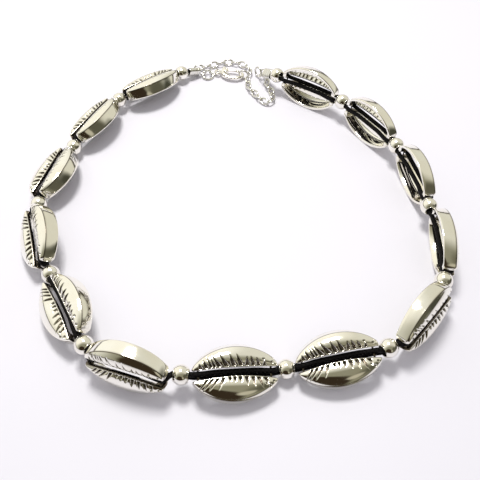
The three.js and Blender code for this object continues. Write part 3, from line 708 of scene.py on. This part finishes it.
def cord_end(end, split, loop_along, loop_across):
    """A ribbed flat tube with a closed end and its loop, and the loop's centre. x runs from the bore's
    bottom to the mouth and back outside, and grow is how far each row stands out of the tube."""
    axis = unit(end[1] - end[0])
    across = unit(split - axis * np.dot(split, axis))
    up = np.cross(axis, across)
    outside_x = np.linspace(0.12, 3.9, 40)
    ribs = -0.08 * np.exp(-((outside_x[:, None] - [1.1, 2.1, 3.1]) / 0.14) ** 2).sum(1)
    close = np.radians([30, 60, 85])
    x = np.concatenate([[3.3, 1.5, 0.12, 0.03, 0.03], outside_x, 3.9 + 0.3 * np.sin(close)])
    grow = np.concatenate([[-0.3, -0.3, -0.3, -0.2, -0.08], ribs, -0.6 * (1 - np.cos(close))])
    shape = squarish(arc(32, 0, 360), 0.75)
    wide = (TUBE_HALF_WIDTH + grow)[:, None] * shape[0]
    high = (TUBE_HALF_HEIGHT + grow)[:, None] * shape[1]
    rows = end[0] + x[:, None, None] * axis + wide[..., None] * across + high[..., None] * up
    loop_centre = end[0] + TUBE_LENGTH * axis + (END_LOOP_RADIUS - 0.05) * loop_along
    loop = ring(loop_centre, loop_along, loop_across, END_LOOP_RADIUS, END_LOOP_WIRE)
    return [skin(rows), loop], loop_centre


def heading(degrees):
    """The level unit vector at a compass angle from +x toward +y."""
    return np.array([np.cos(np.radians(degrees)), np.sin(np.radians(degrees)), 0.0])


left_skins, left_loop = cord_end(END_LEFT, bead_split[0], heading(-10), UP)
right_axis = unit(END_RIGHT[1] - END_RIGHT[0])
right_skins, right_loop = cord_end(END_RIGHT, bead_split[-1], right_axis, bead_split[-1])
add_piece("folded_cord_end_left", left_skins, wire_silver, ["cord_end_left"])
add_piece("folded_cord_end_right", right_skins, wire_silver, ["cord_end_right"])
print("left loop at", np.round(left_loop, 2), "right loop at", np.round(right_loop, 2))

# %% [markdown]
# ## Rings
# Jump rings are loops of wire with a cut, which is pressed shut after the ring is threaded. The cut
# still shows as a hairline, so each ring here stops a degree or two short of closing.

# %% Jump rings, connector and hooked link
JUMP_RADIUS, JUMP_WIRE, TILT = 1.75, 0.32, np.radians(20)
jump_height = JUMP_WIRE + JUMP_RADIUS * np.sin(TILT) + 0.02
jump_centre = np.array([left_loop[0] + 1.9, left_loop[1] - 0.75, jump_height])
jump_up = np.array([0, np.cos(TILT), np.sin(TILT)])
jump_ring = ring(jump_centre, heading(200), -jump_up, JUMP_RADIUS, JUMP_WIRE, gap=3)
add_piece("wire_jump_ring_left", [jump_ring], wire_silver, ["jump_ring_left"])

held_at = np.radians(27)
CONNECTOR_RADIUS, CONNECTOR_WIRE = 1.5, 0.22
connector_along = heading(10)
held_point = jump_centre + JUMP_RADIUS * (np.cos(held_at) * heading(0) + np.sin(held_at) * jump_up)
connector_centre = held_point + 0.5 * connector_along
connector_centre[2] = CONNECTOR_RADIUS + CONNECTOR_WIRE + 0.02
connector = ring(connector_centre, connector_along, UP, CONNECTOR_RADIUS, CONNECTOR_WIRE, gap=3)
add_piece("wire_connector", [connector], wire_silver, ["connector_ring"])

RIGHT_RADIUS, RIGHT_WIRE = 1.6, 0.3
right_reach = END_LOOP_RADIUS + RIGHT_RADIUS - END_LOOP_WIRE - RIGHT_WIRE - 0.15
right_centre = right_loop + right_reach * right_axis
right_across = np.cross(heading(20), right_axis)
right_ring = ring(right_centre, right_axis, right_across, RIGHT_RADIUS, RIGHT_WIRE, gap=3)
add_piece("wire_jump_ring_right", [right_ring], wire_silver, ["jump_ring_right"])

clasp_along = heading(-13)
clasp_side = np.cross(UP, clasp_along)
clasp_centre = connector_centre + 1.37 * connector_along + 5.2 * clasp_along
clasp_centre[2] = 1.35
HOOKED_RADIUS, HOOKED_WIRE = 1.55, 0.28
hooked_centre = clasp_centre + 3.93 * clasp_along
hooked_centre[2] = HOOKED_RADIUS + HOOKED_WIRE + 0.02
hooked_link = ring(hooked_centre, clasp_along, UP, HOOKED_RADIUS, HOOKED_WIRE, gap=3)
add_piece("wire_hooked_link", [hooked_link], wire_silver, ["hooked_link"])
print("clasp centre at", np.round(clasp_centre, 2))

# %% [markdown]
# ## The lobster clasp
# The clasp's body is a hook with a thick tail, and its lever turns on a pin between two cheeks at the
# tail. Both are bars whose width and thickness change along a curve, so one function makes them: an
# oval section carried along a line in the clasp's middle plane, with rounded ends.

# %% Clasp body and lever
def bar(line, half_width, half_thickness, ends=(1, 1)):
    """An oval section carried along a line in the clasp's plane, wide in the plane and thick across
    it. Near each rounded end the section shrinks as a circle does."""
    line = np.asarray(line)
    tangent = unit(np.gradient(line, axis=0))
    beside = np.stack([-tangent[:, 1], tangent[:, 0]], -1)
    length = np.concatenate([[0], np.cumsum(np.linalg.norm(np.diff(line, axis=0), axis=1))])
    rounding = [np.clip(1 - reach / (0.8 * half_width), 0, 0.999) * flag
                for reach, flag in ((length, ends[0]), (length[-1] - length, ends[1]))]
    shrink = np.sqrt(1 - rounding[0] ** 2) * np.sqrt(1 - rounding[1] ** 2)
    shape = squarish(arc(20, 0, 360), 0.85)
    across = (half_width * shrink)[:, None] * shape[0]
    thick = (half_thickness * shrink)[:, None] * shape[1]
    rows = line[:, None] + across[..., None] * beside[:, None]
    return in_clasp(np.concatenate([rows, thick[..., None]], -1))


def in_clasp(rows):
    """Points given along, beside and above the clasp, placed on it as a skin."""
    axes = np.stack([clasp_along, clasp_side, UP])
    return skin(rows @ axes + clasp_centre)


def disc(x, y, half_length, half_width, low, high, power=1.0):
    """A flat oval plate with rounded edges, between two heights."""
    turn = arc(32, 0, 360)
    level = np.radians([-80, -55, -25, 25, 55, 80])
    middle, half = (low + high) / 2, (high - low) / 2
    shape = squarish(turn, power)
    inset = np.minimum(half, 0.18) * (1 - np.cos(level))
    rows = [(half_length - inset)[:, None] * shape[0] + x, (half_width - inset)[:, None] * shape[1] + y,
            (middle + half * np.sin(level))[:, None] + 0 * turn]
    return in_clasp(np.stack(rows, -1))


angle = np.radians(np.linspace(176, 400, 90))
outer = np.stack([4.1 * np.cos(angle), 2.6 * np.sin(angle)], -1)
inner = np.stack([0.25 + 2.95 * np.cos(angle), 0.2 + 1.35 * np.sin(angle)], -1)
tail_share = 1 - smooth((np.degrees(angle) - 205) / 55)
half_width = np.linalg.norm(outer - inner, axis=1) / 2
hook = bar((outer + inner) / 2, half_width, 0.5 + 0.48 * tail_share, ends=(0, 1))
cheeks = [disc(-2.85, 0.85, 1.15, 1.15, low, low + 0.35, 0.85) for low in (-1.0, 0.65)]
pin = disc(-2.7, 1.25, 0.3, 0.3, -1.06, 1.06)
neck = bar([[-3.6, 0], [-3.9, 0], [-4.2, 0], [-4.45, 0]], np.array([0.8, 0.7, 0.55, 0.45]),
           np.array([0.8, 0.65, 0.5, 0.4]), ends=(0, 0))
eye = ring(clasp_centre - 5.2 * clasp_along, clasp_along, clasp_side, 0.91, 0.29, flat=1.35)
add_piece("clasp_hook", [hook, *cheeks, pin, neck, eye], bead_silver, ["clasp_body"])

angle = np.radians(np.linspace(140, 57, 40))
arm = bar(np.stack([3.52 * np.cos(angle), 2.02 * np.sin(angle)], -1), np.full(40, 0.45), np.full(40, 0.42))
boss = disc(-2.7, 1.25, 0.85, 0.85, -0.42, 0.42)
reach = np.linspace(0, 1, 24)[:, None]
thumb = bar(np.array([-2.7, 1.6]) + reach * [-0.2, 0.75] + reach ** 2 * [-0.95, 0.85],
            0.62 - 0.2 * reach[:, 0], np.full(24, 0.42))
add_piece("clasp_trigger", [arm, boss, thumb], bead_silver, ["clasp_lever"], body="lever")
print("clasp body and lever made")

# %% [markdown]
# ## The extender chain
# The chain is a row of small oval wire links, each turned a quarter from the next, which lie leaning
# to either side on the table. One link is worked out once, and copies are placed along the line.

# %% Chain links
LOOP_ROUTE = np.array([[10.36, 55.19, 1.15], [11.06, 53.94, 1.15], [11.26, 52.04, 1.15], [11.36, 49.64, 1.15],
                       [12.56, 47.24, 1.15], [13.06, 44.44, 1.15], [12.66, 42.04, 1.15], [11.06, 40.84, 1.15],
                       [9.36, 42.14, 1.15], [7.96, 44.24, 1.15], [6.46, 46.34, 1.15], [5.16, 48.64, 1.15],
                       [4.56, 51.14, 1.2], [4.96, 53.84, 1.3]])
TAIL_ROUTE = np.array([[5.01, 55.14, 1.3], [5.46, 56.84, 1.15], [5.36, 58.84, 1.15], [3.86, 60.64, 1.15],
                       [1.16, 62.14, 1.15], [-2.04, 62.44, 1.15], [-5.14, 61.84, 1.15], [-8.14, 60.54, 1.15],
                       [-10.94, 59.54, 1.15], [-13.84, 59.14, 1.15]])
PITCH, LINK_HALF_LENGTH, LINK_HALF_WIDTH, LINK_WIRE = 2.6, 1.85, 1.2, 0.29
LINK_LEAN = 43


def link_shape():
    """One link lying flat: a round wire carried along an oval whose middle line is set in by the wire."""
    turn = arc(28, 0, 360)
    middle = np.stack([(LINK_HALF_LENGTH - LINK_WIRE) * np.cos(turn),
                       (LINK_HALF_WIDTH - LINK_WIRE) * np.sin(turn)], -1)
    spoke = unit(np.stack([np.cos(turn) / LINK_HALF_LENGTH, np.sin(turn) / LINK_HALF_WIDTH], -1))
    round_wire = arc(8, 0, 360)[:, None]
    flat = middle[:, None] + LINK_WIRE * np.cos(round_wire) * spoke[:, None]
    return np.concatenate([flat, np.broadcast_to(LINK_WIRE * np.sin(round_wire), flat[..., :1].shape)], -1)


def chain(route):
    """Links placed every pitch along the smoothed route, leaning left and right in turn."""
    line = smooth_line(route, 0.2, 0.6)
    length = np.concatenate([[0], np.cumsum(np.linalg.norm(np.diff(line, axis=0), axis=1))])
    count = round(length[-1] / PITCH)
    sample = (np.arange(count) + 0.5) * length[-1] / count
    centre = np.stack([np.interp(sample, length, line[:, k]) for k in range(3)], -1)
    along = unit(np.stack([np.interp(sample, length, np.gradient(line[:, k])) for k in range(3)], -1))
    beside = unit(np.cross(UP, along))
    above = np.cross(along, beside)
    lean = np.radians(np.where(np.arange(count) % 2, LINK_LEAN, -LINK_LEAN))[:, None]
    width = np.cos(lean) * beside + np.sin(lean) * above
    normal = np.cross(along, width)
    shape = link_shape()
    return [skin(c + shape @ np.stack(axes), ring=True) for c, *axes in zip(centre, along, width, normal)]


for name, route in (("extender_loop", LOOP_ROUTE), ("extender_tail", TAIL_ROUTE)):
    links = chain(route)
    add_piece("links_" + name, links, wire_silver, [name])
    print(name, "has", len(links), "links")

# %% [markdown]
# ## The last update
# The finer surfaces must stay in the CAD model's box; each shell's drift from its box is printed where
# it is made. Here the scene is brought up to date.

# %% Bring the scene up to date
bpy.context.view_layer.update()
